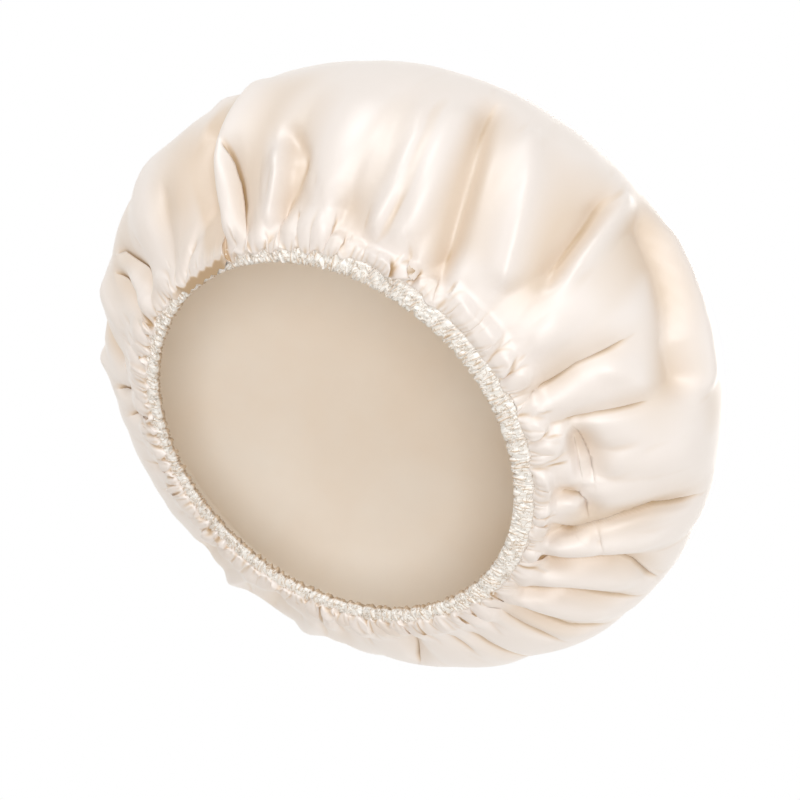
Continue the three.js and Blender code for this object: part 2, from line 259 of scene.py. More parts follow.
# The simulated cloth, at a scale that suits the solver
SIM_SCALE = 10
SIM_FRAMES = 26
SIM_SETTINGS = {
    "quality": 6,
    "mass": 0.15,
    "air_damping": 2,
    "tension_stiffness": 30,
    "compression_stiffness": 30,
    "shear_stiffness": 8,
    "bending_stiffness": 0.4,
    "tension_damping": 10,
    "compression_damping": 10,
    "shear_damping": 5,
    "bending_damping": 0.5,
    "use_pressure": True,
    "uniform_pressure_force": 6.0,
    "pin_stiffness": 8,
}
GUIDE_SHARE = 0.8
HELD_FROM = 0.120
HELD_WHOLLY = 0.185
MOST_INWARD = 0.0088
MOST_OUTWARD = 0.0100

# Petals: the small puffs that lean over the casing's outer edge and over each other
PETALS = 44
PETAL_SEED = 42
PETAL_LEAST_SIZE = 0.1
PETAL_MOST_SIZE = 1.35
PETAL_SLANT = 16
PETAL_FLAT_SIDE = 0.35
PETAL_TILT_ACROSS = 0.65
PETAL_TILT_ALONG = 0.45
PETAL_START = 0.0084
PETAL_END = 0.0185
PETAL_END_VARIES = 0.0040
PETAL_HEIGHT = 0.0042
PETAL_BASE = 0.0016
PETAL_LEAN = 0.0032
PETAL_SPILL = 0.0014
PETAL_RAGGED = 0.0008
PETAL_RAGGED_FADE = 0.008
PETAL_ROUND_FROM = 0.3
PETAL_ROUND_LENGTH = 0.75
PETAL_EDGE = 0.45
PETAL_RISE = 0.4
PETAL_BASE_RISE = 0.1
PETAL_BASE_END = 1.2
PETAL_BASE_FADE = 0.6
PETAL_BASE_SPILL = 0.7
PETAL_SPILL_END = 0.7
PETAL_SPILL_FADE = 0.6
PETAL_AZIMUTHS = (0, 90, 185, 203, 240, 247, 320, 335, 360)
PETAL_SHARES = (0.3, 0.6, 0.5, 0.2, 0.5, 1.0, 1.0, 0.45, 0.3)

# How far the fabric falls over the casing, by azimuth in degrees, and how it gets there
COVER_AZIMUTHS = (0, 12, 25, 100, 125, 175, 185, 190, 202, 209, 225, 240, 247, 345, 360)
COVER_SPILLS = (0.0010, 0.0030, 0.0034, 0.0036, 0.0040, 0.0040, 0.0064, 0.0088, 0.0086, 0.0044,
                0.0034, 0.0020, 0.0, 0.0, 0.0010)
COVER_END = 0.024
COVER_FADE = 0.010
COVER_RISE = 0.0016
COVER_LIFT = 0.0020
COVER_RAGGED = 0.0007
COVER_RAGGED_FROM = 0.25
COVER_LIFTED_FROM = 0.5
COVER_FLATTENS = 0.8
# Painted shade along the hem where the fabric falls far over the casing: where it ends, how it fades,
# the spill it starts at, how fast it rises and how strong it is
COVER_HEM_END = 0.0107
COVER_HEM_FADE = 0.001
COVER_HEM_SPILL = 0.0045
COVER_HEM_RISE = 0.003
COVER_HEM_SHADE = 0.9

# The lining
LINING_COLUMNS = 720
LINING_FINE_RUNS = (0.0075, 0.030, 24)
LINING_WIDE_RUNS = (0.033, 0.252, 50)
LINING_GATHERS = 105
LINING_GATHER_DEPTH = 0.0005
LINING_GATHER_END = 0.022
LINING_GATHER_FADE = 0.012
LINING_SLACK_FROM = 0.012
LINING_SLACK_RISE = 0.02
LINING_SLACK_END = 0.13
LINING_SLACK_FADE = 0.09

# Fine pleats of the casing and of the fabric where it is sewn in
PLEATS = 230
CASING_EDGE = 0.0088
CASING_TAPER = 0.0080
CASING_COLUMNS = 2760
CASING_FACE_STEPS = 12
CASING_FOLD_STEPS = 9
PLEAT_DEPTH = 0.0013
PLEAT_ROUNDNESS = 0.6
PLEAT_MEAN = 0.73
PLEAT_MIDDLE = 0.25
PLEAT_BEND = 2.4
PLEAT_BENDS = 3
CLUSTERS = 76
CLUSTER_SLANT = 6
CLUSTER_DEPTH = 0.0003
CRUMBS = 391
CRUMB_SLANT = 14
CRUMB_CROSSING = 5
CRUMB_BENDS = 5
FINE_DEPTH = 0.0004
FINE_END = 0.0155
FINE_FADE = 0.006
CRUMPLE_DEPTH = 0.0012
CRUMPLE_WIDTH = 0.0022
CRUMPLE_LENGTH = 0.0040
CRUMPLE_FINER = 2.1
CRUMPLE_MEAN = 0.3
CASING_WAVE = 0.0008
CASING_WAVE_END = 0.004
CASING_WAVE_FADE = 0.003
CASING_LEAST_RUN = -0.001
# Painted shade along the inside of the casing's turn, and how far round the turn it reaches
CASING_EDGE_SHADE = 0.8
CASING_EDGE_TURN = 0.4
SEWN_WIDTH = 0.0007
SEWN_FLATTENS = 0.6
SEWN_DEPTH = 0.0004

# Painted shade: how deep a hollow is where the fabric is painted fully shaded, and the reach that it's
# measured at
TUCK_DEPTH = 0.0006
TUCK_LEAST = 0.0002
TUCK_REACH = 0.0013
# The broad painted fold shade: how far round the crests are looked for, the least and the full depth
# below them, how often it is smoothed, and its share of the painted shade
CREST_REACH = 0.022
CREST_LEAST = 0.0008
CREST_DEPTH = 0.0052
CREST_SMOOTHINGS = 4
FOLD_SHADE = 0.5

# Stitches
STITCHES = 250
STITCH_SHARE = 0.82
STITCH_SIDES = 6
STITCH_STEPS = 7
STITCH_INSET = 0.0003
STITCH_END_SINK = 0.0006
STITCH_END_POWER = 6
THREAD_RADIUS = 0.00015

# The materials. Colours are 8-bit sRGB values. A noise has its scale and its detail, and a relief
# its height in metres and its strength.
SATIN_COLOUR = (245, 236, 230)
SATIN_ROUGHNESS = 0.50
# The casing strip is the same satin painted lighter, a painted highlight for the glints of its
# crumpled pleats
STRIP_PAINTED_HIGHLIGHT_COLOUR = (255, 252, 247)
STRIP_ROUGHNESS = 0.42
# How much painted crease shade the casing strip gets
STRIP_CREASE_SHADE = 0.6
# Painted shade: the colour painted into broad fold hollows, and the deeper one painted into small
# hollows
FOLD_PAINTED_SHADE_COLOUR = (228, 208, 187)
TUCK_PAINTED_SHADE_COLOUR = (186, 152, 106)
# Painted crease shade: thin random lines of a deeper colour, with their noise and width
CREASE_PAINTED_SHADE_COLOUR = (178, 152, 116)
CREASE_SHADE_NOISE = (330, 3)
CREASE_SHADE_WIDTH = 0.018
SATIN_CRINKLE_NOISE = (90, 5)
SATIN_CRINKLE = (0.0006, 0.25)
SATIN_GRAIN_NOISE = (2600, 2)
SATIN_GRAIN = (0.00005, 0.5)
SATIN_GLOSS = {
    "IOR": 1.7,
    "Specular IOR Level": 1.0,
    "Coat Weight": 0.5,
    "Coat Roughness": 0.48,
    "Sheen Weight": 0.2,
    "Sheen Roughness": 0.4,
}
FILM_COLOUR = (254, 244, 231)
FILM_ROUGHNESS = 0.55
FILM_TONE_NOISE = (14, 4)
FILM_TONES = ((251, 238, 222), (255, 248, 238))
FILM_TONE_PLACES = (0.3, 0.7)
FILM_WAVE_NOISE = (25, 3)
FILM_WAVE = (0.002, 0.3)
FILM_GRAIN_NOISE = (1800, 2)
FILM_GRAIN = (0.00004, 0.4)
ELASTIC_COLOUR = (242, 238, 230)
ELASTIC_ROUGHNESS = 0.85
ELASTIC_TONES = ((226, 219, 207), (248, 245, 239))
ELASTIC_KNIT_NOISE = (2200, 2)
ELASTIC_KNIT = (0.0001, 0.5)
ELASTIC_CORD_SCALE = 320
ELASTIC_CORDS = (0.0002, 0.6)
THREAD_COLOUR = (243, 233, 223)
THREAD_ROUGHNESS = 0.6
THREAD_TONES = ((228, 213, 196), (250, 244, 237))
THREAD_FIBRE_NOISE = (6000, 3)
THREAD_FIBRES = (0.00005, 0.6)
THREAD_LEAST_ROUGH = 0.45
THREAD_MOST_ROUGH = 0.75


def smooth(share):
    """An even rise from 0 to 1 that starts and ends softly."""
    share = np.clip(share, 0, 1)
    return share * share * (3 - 2 * share)


def body_profile():
    """The run, radius, height and outward direction of points from the opening to the crown."""
    cut = (1 - (OPENING_RADIUS / BODY_RADIUS) ** ROUNDNESS) ** (1 / ROUNDNESS)
    share = np.arange(PROFILE_STEPS) / PROFILE_STEPS
    side_r = BODY_RADIUS * (1 - (cut * (1 - share)) ** ROUNDNESS) ** (1 / ROUNDNESS)
    side_z = SIDE_HEIGHT * share
    angle = np.arange(PROFILE_STEPS) / PROFILE_STEPS * pi / 2
    crown_r = BODY_RADIUS * np.cos(angle) ** (2 / ROUNDNESS)
    crown_z = SIDE_HEIGHT + CROWN_HEIGHT * np.sin(angle) ** (2 / ROUNDNESS)
    r = np.concatenate([side_r, crown_r, [0]])
    z = np.concatenate([side_z, crown_z, [SIDE_HEIGHT + CROWN_HEIGHT]])
    run = np.concatenate([[0], np.cumsum(np.hypot(np.diff(r), np.diff(z)))])
    out_r = np.gradient(z, run)
    out_z = -np.gradient(r, run)
    return run, r, z, out_r, out_z


PROFILE = body_profile()
SIDE_LENGTH = PROFILE[0][PROFILE_STEPS]
FULL_LENGTH = PROFILE[0][-1]


def place(azimuth, run, lift):
    """Points in the row frame from azimuth, run and lift, which may be arrays of one shape."""
    r, z, out_r, out_z = (np.interp(run, PROFILE[0], values) for values in PROFILE[1:])
    share = np.minimum(z / SIDE_HEIGHT, 1)
    radius = r + lift * out_r
    x = radius * np.cos(azimuth) + BODY_SHIFT_X * share
    y = radius * np.sin(azimuth) + BODY_SHIFT_Y * share
    height = RIM_LIFT + z + lift * out_z - BODY_DIP * share * y / BODY_RADIUS
    return np.stack([x, y, height], axis=-1)


def ring_azimuths(columns):
    return np.arange(columns) / columns * 2 * pi


def wander(azimuth, name, level=0):
    """One of WANDERS: a repeatable random value that closes on itself. Each level is another one."""
    size, fewest, most, seed = WANDERS[name]
    random = np.random.default_rng(seed + level)
    value = np.zeros_like(azimuth)
    for count in range(fewest, most + 1):
        value = value + random.normal() * np.cos(count * azimuth + random.uniform(0, 2 * pi))
    return size * (value / np.sqrt((most - fewest + 1) / 2))


def by_azimuth(azimuth, azimuths, values):
    """A value at each azimuth, from a list of azimuths in degrees and the values there."""
    return np.interp(np.degrees(azimuth) % 360, azimuths, values)


def puffs(phase):
    """Round crests and narrow valleys, with a mean of about nought."""
    return np.abs(np.cos(phase / 2)) - 2 / pi


def ring_mesh(name, rings, pole=None, inwards=False):
    """A mesh of quads through rows of points, each row closed on itself."""
    rows, columns = rings.shape[:2]
    points = rings.reshape(-1, 3)
    here = np.arange(rows * columns).reshape(rows, columns)
    beside = np.roll(here, -1, axis=1)
    quads = np.stack([here[:-1], beside[:-1], beside[1:], here[1:]], axis=-1).reshape(-1, 4)
    faces = quads.tolist()
    if pole is not None:
        tip = len(points)
        points = np.vstack([points, pole])
        faces += [[a, b, tip] for a, b in zip(here[-1].tolist(), beside[-1].tolist())]
    if inwards:
        faces = [face[::-1] for face in faces]
    mesh = bpy.data.meshes.new(name)
    mesh.from_pydata(points.tolist(), [], faces)
    mesh.polygons.foreach_set("use_smooth", [True] * len(faces))
    mesh.update()
    piece = bpy.data.objects.new(name, mesh)
    bpy.context.scene.collection.objects.link(piece)
    return piece


def refine(rings):
    """More points on a smooth surface through a grid that closes on itself along its rows."""
    def cubic(before, here, after, beyond, share):
        line = 2 * here + (after - before) * share
        line = line + (2 * before - 5 * here + 4 * after - beyond) * share ** 2
        return (line + (3 * here - before - 3 * after + beyond) * share ** 3) / 2

    around = [np.roll(rings, shift, axis=1) for shift in (1, 0, -1, -2)]
    columns = [cubic(*around, step / REFINE_COLUMNS) for step in range(REFINE_COLUMNS)]
    wide = np.stack(columns, axis=2).reshape(len(rings), -1, rings.shape[-1])
    padded = np.concatenate([2 * wide[:1] - wide[1:2], wide, 2 * wide[-1:] - wide[-2:-1]])
    rows = []
    for row in range(1, len(padded) - 2):
        near = padded[row - 1 : row + 3]
        rows += [cubic(*near, step / REFINE_ROWS) for step in range(REFINE_ROWS)]
    return np.array(rows + [padded[-2]])


def smoothed(rings):
    """The same grid with its small unevenness taken out."""
    rings = (np.roll(rings, 1, axis=1) + 2 * rings + np.roll(rings, -1, axis=1)) / 4
    inner = (rings[:-2] + 2 * rings[1:-1] + rings[2:]) / 4
    return np.concatenate([rings[:1], inner, rings[-1:]])


def tucks(rings, least):
    """How deeply each point lies in a hollow of the fabric, from 0 to 1, beyond a least depth: the
    share of painted shade there.
    """
    pitch = np.linalg.norm(np.roll(rings, -1, axis=1) - rings, axis=-1).mean()
    reach = max(1, round(TUCK_REACH / pitch))
    normal = surface_normals(rings)
    share = np.clip((hollow(rings, normal, reach) - least) / TUCK_DEPTH, 0, 1)
    return smoothed(share)


def sunk(rings, azimuth, runs):
    """How far each point of the coarse grid lies below the crests near it, from 0 to 1, which sets the
    painted fold shade.
    """
    base = place(azimuth, runs[:, None] + 0 * azimuth, 0 * azimuth)
    height = np.sum((rings - base) * surface_normals(base), axis=-1)
    pitch = 2 * pi * BODY_RADIUS / rings.shape[1]
    window = round(CREST_REACH / pitch)
    crest = np.max([np.roll(height, shift, axis=1) for shift in range(-window, window + 1)], axis=0)
    depth = crest - height
    for _ in range(CREST_SMOOTHINGS):
        depth = smoothed(depth)
    return np.clip((depth - CREST_LEAST) / CREST_DEPTH, 0, 1)


def hollow(rings, normal, reach):
    """How far each point lies below the middle of the points on both sides of it."""
    around = (np.roll(rings, reach, axis=1) + np.roll(rings, -reach, axis=1)) / 2
    return np.sum((around - rings) * normal, axis=-1)


def mark_painted_shade(piece, values):
    """Keeps the share of painted shade on the mesh, where the fabric's material reads it."""
    values = values.ravel()
    spare = len(piece.data.vertices) - len(values)
    layer = piece.data.attributes.new("painted_shade", "FLOAT", "POINT")
    layer.data.foreach_set("value", np.concatenate([values, np.zeros(spare)]))


def surface_normals(rings):
    """The outward direction at every point of a grid that closes on itself along its rows."""
    around = np.roll(rings, -1, axis=1) - np.roll(rings, 1, axis=1)
    up = np.gradient(rings, axis=0)
    normal = np.cross(around, up)
    return normal / np.linalg.norm(normal, axis=-1, keepdims=True)


# The outer fabric

def shell_runs():
    """The rows' runs: close together where the fabric is gathered, wider over the crown."""
    share = np.linspace(0, 1, SHELL_ROWS)
    spread = SHELL_EVENNESS * share + (1 - SHELL_EVENNESS) * share ** 2
    return SHELL_START + (SHELL_CROWN_END - SHELL_START) * spread


def from_path(azimuth, run, path):
    """Where points lie from a path: distance, place along it, direction away, side, and its length."""
    around = np.interp(run, PROFILE[0], PROFILE[1])
    shape = np.broadcast(azimuth, run).shape
    nearest = np.full(shape, np.inf)
    along, away_x, away_y = np.zeros((3, *shape))
    right = np.zeros(shape, bool)
    walked = 0.0
    for (start, low), (end, high) in zip(path, path[1:]):
        reach_x = radians(end - start) * around
        reach_y = (high - low) * SIDE_LENGTH
        x = ((azimuth - radians(start) + pi) % (2 * pi) - pi) * around
        y = run - low * SIDE_LENGTH
        length = np.hypot(reach_x, reach_y)
        share = np.clip((x * reach_x + y * reach_y) / length ** 2, 0, 1)
        off_x = x - share * reach_x
        off_y = y - share * reach_y
        distance = np.hypot(off_x, off_y)
        closer = distance < nearest
        nearest = np.where(closer, distance, nearest)
        along = np.where(closer, walked + share * length, along)
        away_x = np.where(closer, off_x, away_x)
        away_y = np.where(closer, off_y, away_y)
        right = np.where(closer, x * reach_y > y * reach_x, right)
        walked = walked + length
    return nearest, along, away_x, away_y, right, walked


def fold_moves(azimuth, run):
    """The folds on a grid: their lift, how near their middles are, and their laps' three moves."""
    lift, middle, lap_lift, lap_side, lap_up = np.zeros((5, len(run), azimuth.shape[1]))
    for left_share, right_share, depth_share, crisp, path in FOLD_SHARES:
        centres = [radians(point[0]) for point in path]
        widest = max(left_share, right_share) * FOLD_WIDTH
        reach = (max(centres) - min(centres)) / 2 + (widest + LAP_SPREAD) / OPENING_RADIUS
        centre = (max(centres) + min(centres)) / 2
        near = np.abs((azimuth[0] - centre + pi) % (2 * pi) - pi) < reach
        found = from_path(azimuth[:, near], run, path)
        distance, along, away_x, away_y, right, length = found
        width = np.where(right, right_share, left_share) * FOLD_WIDTH
        apart = np.clip(distance / width, 0, 1)
        ends = np.minimum(along, length - along)
        fade = smooth((ends + FOLD_END_SHARE * FOLD_ENDS) / FOLD_ENDS)
        across = crisp * (1 - apart) ** CRISP_POWER + (1 - crisp) * (1 - apart ** 2) ** 2
        lift[:, near] += FOLD_DEPTH * depth_share * fade * across
        guide = np.exp(-(distance / GUIDE_WIDTH) ** 2) * fade * abs(depth_share)
        middle[:, near] = np.maximum(middle[:, near], np.clip(guide, 0, 1))
        if depth_share < 0:
            size = fade * (crisp == 1) * min(1, abs(depth_share) * LAP_SIZE)
            share = distance / LAP_WIDTH
            closing = -LAP_REACH / LAP_WIDTH * np.exp(-share ** 2 / 2) * size
            lap_side[:, near] += closing * away_x
            lap_up[:, near] += closing * away_y
            over = np.where(right, -1, 1) * (1 - np.exp(-share ** 2)) * np.exp(-share / LAP_TAIL)
            lap_lift[:, near] += LAP_HEIGHT * size * over
    return lift, middle, lap_lift, lap_side, lap_up


def gather_lift(azimuth, run):
    """The gathers that the sewn edge presses into the fabric, in levels from fine to broad."""
    lift = np.zeros(np.broadcast(azimuth, run).shape)
    for level, (count, peak, end, depth) in enumerate(GATHERS):
        rise = smooth((run - SHELL_START) / (peak - SHELL_START))
        fall = smooth((end - run) / (end - peak))
        phase = count * azimuth + wander(azimuth, "gather_place", level)
        phase = phase + GATHER_SLANT * (run - peak) * wander(azimuth, "gather_slant", level)
        size = 1 + wander(azimuth, "gather_size", level)
        lift += depth * size * puffs(phase) * rise * fall
    return lift


def crown_lift(rings, azimuth, run):
    """Long, fading folds and soft, shallow waves over the crown, where the cloth lies slack."""
    random = np.random.default_rng(CROWN_SEED)
    slack = np.zeros(rings.shape[:2])
    for _ in range(CROWN_WAVES):
        turn = random.uniform(0, 2 * pi)
        pace = 2 * pi / random.uniform(CROWN_SHORTEST, CROWN_LONGEST)
        across = rings[..., 0] * np.cos(turn) + rings[..., 1] * np.sin(turn)
        slack += np.cos(pace * across + random.uniform(0, 2 * pi))
    slack = CROWN_SLACK * slack / np.sqrt(CROWN_WAVES / 2)
    phase = CROWN_FOLDS * azimuth + wander(azimuth, "crown_place")
    phase = phase + CROWN_SLANT * (run - CROWN_WHOLLY) * wander(azimuth, "crown_slant")
    end = CROWN_FOLD_END + wander(azimuth, "crown_end")
    size = CROWN_SIZE + wander(azimuth, "crown_size")
    size = np.clip(size, CROWN_LEAST_SIZE, CROWN_MOST_SIZE)
    fold = CROWN_FOLD_DEPTH * size * puffs(phase) * smooth((end - run) / CROWN_FOLD_FADE)
    rise = smooth((run - CROWN_FROM) / (CROWN_WHOLLY - CROWN_FROM))
    return (fold + slack) * rise


def cut_rings(azimuth, runs):
    """The same grid on the slacker surface whose lengths the fabric keeps."""
    radius = np.interp(runs, PROFILE[0], PROFILE[1])
    radius = radius * (1 + np.interp(runs, EXCESS_RUNS, EXCESS_SHARES))
    steps = np.diff(runs)
    rise = np.sqrt(np.maximum(steps ** 2 - np.diff(radius) ** 2, 0))
    height = np.concatenate([[0], np.cumsum(rise)])
    x = radius[:, None] * np.cos(azimuth)
    y = radius[:, None] * np.sin(azimuth)
    return np.stack([x, y, height[:, None] + 0 * x], axis=-1)


def simulate(rings, cut, held):
    """Lets the cloth solver fold the fabric: it keeps the cut's lengths and is blown outwards.

    A point that is held wholly stays, and one that is held in part is drawn back to its start.
    """
    scene = bpy.context.scene
    piece = ring_mesh("cloth_trial", rings * SIM_SCALE)
    piece.shape_key_add(name="Basis")
    key = piece.shape_key_add(name="cut")
    key.data.foreach_set("co", (cut * SIM_SCALE).ravel())
    group = piece.vertex_groups.new(name="held")
    for index, weight in enumerate(held.ravel().tolist()):
        if weight > 0:
            group.add([index], weight, "REPLACE")
    cloth = piece.modifiers.new("cloth", "CLOTH")
    settings = cloth.settings
    for name, value in SIM_SETTINGS.items():
        setattr(settings, name, value)
    settings.effector_weights.gravity = 0
    settings.vertex_group_mass = "held"
    settings.rest_shape_key = key
    cloth.collision_settings.use_collision = False
    cloth.point_cache.frame_start = 1
    cloth.point_cache.frame_end = SIM_FRAMES
    for number in range(1, SIM_FRAMES + 1):
        scene.frame_set(number)
    shaped = piece.evaluated_get(bpy.context.evaluated_depsgraph_get())
    points = np.zeros(rings.size)
    shaped.data.vertices.foreach_get("co", points)
    mesh = piece.data
    bpy.data.objects.remove(piece)
    bpy.data.meshes.remove(mesh)
    scene.frame_set(1)
    return points.reshape(rings.shape) / SIM_SCALE


def keep_near(rings, azimuth, runs):
    """Limits how far the fabric stands off the body's face, clear of the lining and the floor."""
    base = place(azimuth, runs[:, None] + 0 * azimuth, 0 * azimuth)
    normal = surface_normals(base)
    off = np.sum((rings - base) * normal, axis=-1)
    kept = np.clip(off, -MOST_INWARD, MOST_OUTWARD)
    rings = rings + (kept - off)[..., None] * normal
    rings[..., 2] = np.maximum(rings[..., 2], FLOOR_GAP)
    return rings


def petal_moves(azimuth, run):
    """How far the petals lift the fabric, spill it over the casing and lean it sideways."""
    phase = PETALS * azimuth / (2 * pi) + wander(azimuth, "petal_place")
    phase = phase + PETAL_SLANT * (run - PETAL_START) * wander(azimuth, "petal_slant")
    number = np.floor(phase).astype(int) % PETALS
    share = phase - np.floor(phase)
    random = np.random.default_rng(PETAL_SEED)
    size = random.uniform(PETAL_LEAST_SIZE, PETAL_MOST_SIZE, PETALS)[number]
    end = (PETAL_END + PETAL_END_VARIES * random.uniform(-1, 1, PETALS))[number]
    along = (run - PETAL_START) / (end - PETAL_START)
    past = np.maximum(along - PETAL_ROUND_FROM, 0) / PETAL_ROUND_LENGTH
    apart = np.hypot((share - 0.5) / 0.5, past)
    lean = smooth(PETAL_TILT_ACROSS * share + PETAL_TILT_ALONG * along)
    lean = PETAL_FLAT_SIDE + (1 - PETAL_FLAT_SIDE) * lean
    size = size * by_azimuth(azimuth, PETAL_AZIMUTHS, PETAL_SHARES)
    swell = size * lean * smooth((1 - apart) / PETAL_EDGE) * smooth(along / PETAL_RISE)
    base = smooth(along / PETAL_BASE_RISE) * smooth((PETAL_BASE_END - along) / PETAL_BASE_FADE)
    lift = PETAL_HEIGHT * swell + PETAL_BASE * base
    spill = PETAL_SPILL * (PETAL_BASE_SPILL * base + swell)
    spill = spill * smooth((PETAL_SPILL_END - along) / PETAL_SPILL_FADE)
    ragged = np.maximum(wander(azimuth, "petal_edge"), 0)
    ragged = ragged * smooth((PETAL_END - run) / PETAL_RAGGED_FADE)
    spill = spill + PETAL_RAGGED * ragged * smooth(along / PETAL_BASE_RISE)
    return lift, spill, PETAL_LEAN * swell ** 2


def covered(azimuth, run, lift, spill, lean):
    """The petals' moves, changed where the fabric falls over the casing instead."""
    cover = by_azimuth(azimuth, COVER_AZIMUTHS, COVER_SPILLS)
    share = cover / max(COVER_SPILLS)
    ragged = COVER_RAGGED * smooth(share / COVER_RAGGED_FROM) * wander(azimuth, "cover_edge")
    cover = cover + ragged
    spill = spill * (1 - share) + cover * smooth((COVER_END - run) / (COVER_END - SHELL_START))
    rise = smooth((run - SHELL_START) / COVER_RISE) * smooth((COVER_END - run) / COVER_FADE)
    lifted = COVER_LIFT * smooth(share / COVER_LIFTED_FROM) * rise
    lift = lift * (1 - COVER_FLATTENS * share) + lifted
    return lift, spill, (1 - share) * lean


def cover_hem(azimuth, run):
    """How much painted shade the edge of the fabric gets where it falls far over the casing, from 0 to
    1.
    """
    cover = by_azimuth(azimuth, COVER_AZIMUTHS, COVER_SPILLS)
    far = smooth((cover - COVER_HEM_SPILL) / COVER_HEM_RISE)
    return COVER_HEM_SHADE * far * smooth((COVER_HEM_END - run) / COVER_HEM_FADE)


def fine_lift(azimuth, run):
    """The casing's fine pleats, as they run out into the fabric."""
    fade = smooth((FINE_END - run) / FINE_FADE)
    return FINE_DEPTH * fade * puffs(PLEATS * azimuth + wander(azimuth, "pleat_place"))


def loose_fabric(azimuth, runs):
    """The fabric on the body with the folds laid down, and then folded further by the solver."""
    run = runs[:, None]
    folds, middle = fold_moves(azimuth, run)[:2]
    lift = folds + gather_lift(azimuth, run)
    lift = np.maximum(lift, -(run - SHELL_START) * STEEPEST_DIP) - SHELL_SINK
    rings = place(azimuth + 0 * run, run + 0 * azimuth, lift)
    crown = smooth((run - HELD_FROM) / (HELD_WHOLLY - HELD_FROM))
    held = np.maximum(np.maximum(crown, GUIDE_SHARE * middle), run <= SHELL_START)
    rings = simulate(rings, cut_rings(azimuth, runs), held)
    return smoothed(keep_near(rings, azimuth, runs))


def outer_shell():
    """The satin, with what the grid of the solver is too coarse for added to its result."""
    azimuth = ring_azimuths(SHELL_COLUMNS)[None, :]
    runs = shell_runs()
    rings = loose_fabric(azimuth, runs)
    # The depth below the crests, which sets the painted fold shade
    depth = refine(sunk(rings, azimuth, runs)[..., None])[..., 0]
    fine = refine(rings)
    azimuth = ring_azimuths(fine.shape[1])[None, :]
    run = np.interp(np.arange(len(fine)) / REFINE_ROWS, np.arange(SHELL_ROWS), runs)[:, None]
    lift, spill, lean = covered(azimuth, run, *petal_moves(azimuth, run))
    lap_lift, lap_side, lap_up = fold_moves(azimuth, run)[2:]
    lapped = smooth((run - LAPS_FROM) / LAPS_RISE)
    lift = lift + fine_lift(azimuth, run) + lapped * lap_lift + crown_lift(fine, azimuth, run)
    side = lean + lapped * lap_side
    up = lapped * lap_up - spill
    outwards = surface_normals(fine)
    upwards = np.gradient(fine, axis=0)
    upwards = upwards / np.linalg.norm(upwards, axis=-1, keepdims=True)
    sideways = np.cross(upwards, outwards)
    fine = fine + lift[..., None] * outwards + side[..., None] * sideways + up[..., None] * upwards
    fine[..., 2] = np.maximum(fine[..., 2], -SHELL_LOWEST_SHARE * FLOOR_GAP)
    piece = ring_mesh("outer_fabric", fine, pole=fine[-1].mean(axis=0))
    # Painted shade: broad in the folds below their crests, deeper in small hollows, and along the hem
    # that falls far over the casing
    shade = np.maximum(FOLD_SHADE * depth, tucks(fine, 0))
    mark_painted_shade(piece, np.maximum(shade, cover_hem(azimuth, run)))
    return piece


def inner_lining():
    """The lining, gathered at the casing and nearly smooth inside, well clear of the fabric."""
    azimuth = ring_azimuths(LINING_COLUMNS)[None, :]
    runs = np.concatenate([np.linspace(*LINING_FINE_RUNS), np.linspace(*LINING_WIDE_RUNS)])
    run = runs[:, None] + 0 * azimuth
    drop = LINING_DROP * smooth((run - CASING_WIDTH) / LINING_EASE)
    gathers = puffs(LINING_GATHERS * azimuth + wander(azimuth, "lining_gather_place"))
    gathers = LINING_GATHER_DEPTH * gathers * smooth((LINING_GATHER_END - run) / LINING_GATHER_FADE)
    slack = wander(azimuth, "lining_slack") * smooth((run - LINING_SLACK_FROM) / LINING_SLACK_RISE)
    slack = slack * smooth((LINING_SLACK_END - run) / LINING_SLACK_FADE)
    rings = place(azimuth + 0 * run, run, LINING_FACE - drop + gathers + slack)
    tip = place(0.0, FULL_LENGTH, LINING_FACE - LINING_DROP)
    return ring_mesh("lining_film", rings, pole=tip, inwards=True)


def casing_lines():
    """The casing's section as runs and lifts, from the outer face's free edge round to the inner's."""
    half = (CASING_OUTSIDE - CASING_INSIDE) / 2
    middle = (CASING_OUTSIDE + CASING_INSIDE) / 2
    face = np.linspace(CASING_EDGE, half, CASING_FACE_STEPS)
    turn = np.linspace(pi / 2, -pi / 2, CASING_FOLD_STEPS + 2)[1:-1]
    runs = np.concatenate([face, half * (1 - np.cos(turn)), face[::-1]])
    lifts = np.concatenate([0 * face + half, half * np.sin(turn), 0 * face - half]) + middle
    out_run = np.concatenate([0 * face, -np.cos(turn), 0 * face])
    out_lift = np.concatenate([0 * face + 1, np.sin(turn), 0 * face - 1])
    return runs, lifts, out_run, out_lift


def crumple(azimuth, around):
    """Small random creases of the casing, the same all along its closed ring."""
    values = []
    for angle, place_around in zip(azimuth.ravel(), around.ravel()):
        x = OPENING_RADIUS / CRUMPLE_WIDTH * np.cos(angle)
        y = OPENING_RADIUS / CRUMPLE_WIDTH * np.sin(angle)
        spot = Vector((x, y, place_around / CRUMPLE_LENGTH))
        finer = abs(solid_noise.noise(spot * CRUMPLE_FINER))
        values.append(abs(solid_noise.noise(spot)) + 0.5 * finer)
    return np.array(values).reshape(azimuth.shape) - CRUMPLE_MEAN


def pleat_height(azimuth, share):
    """How far the pleats stand out at an azimuth and a share of the way round the section."""
    phase = PLEATS * azimuth + wander(azimuth, "pleat_place")
    slant = wander(azimuth, "pleat_slant") + wander(azimuth, "pleat_fine_slant")
    phase = phase + slant * (share - PLEAT_MIDDLE)
    phase = phase + PLEAT_BEND * np.sin(PLEAT_BENDS * pi * share) * wander(azimuth, "pleat_bend")
    size = 1 + wander(azimuth, "pleat_size")
    fine = np.abs(np.cos(phase / 2)) ** PLEAT_ROUNDNESS - PLEAT_MEAN
    clusters = CLUSTERS * azimuth + wander(azimuth, "cluster_place") - CLUSTER_SLANT * share
    crossing = np.sin(CRUMB_BENDS * pi * share + wander(azimuth, "crumb_crossing"))
    crossing = CRUMB_CROSSING * crossing
    crumbs = CRUMBS * azimuth - CRUMB_SLANT * share + wander(azimuth, "crumb_place") + crossing
    return PLEAT_DEPTH * size * fine + CLUSTER_DEPTH * (puffs(clusters) + puffs(crumbs))


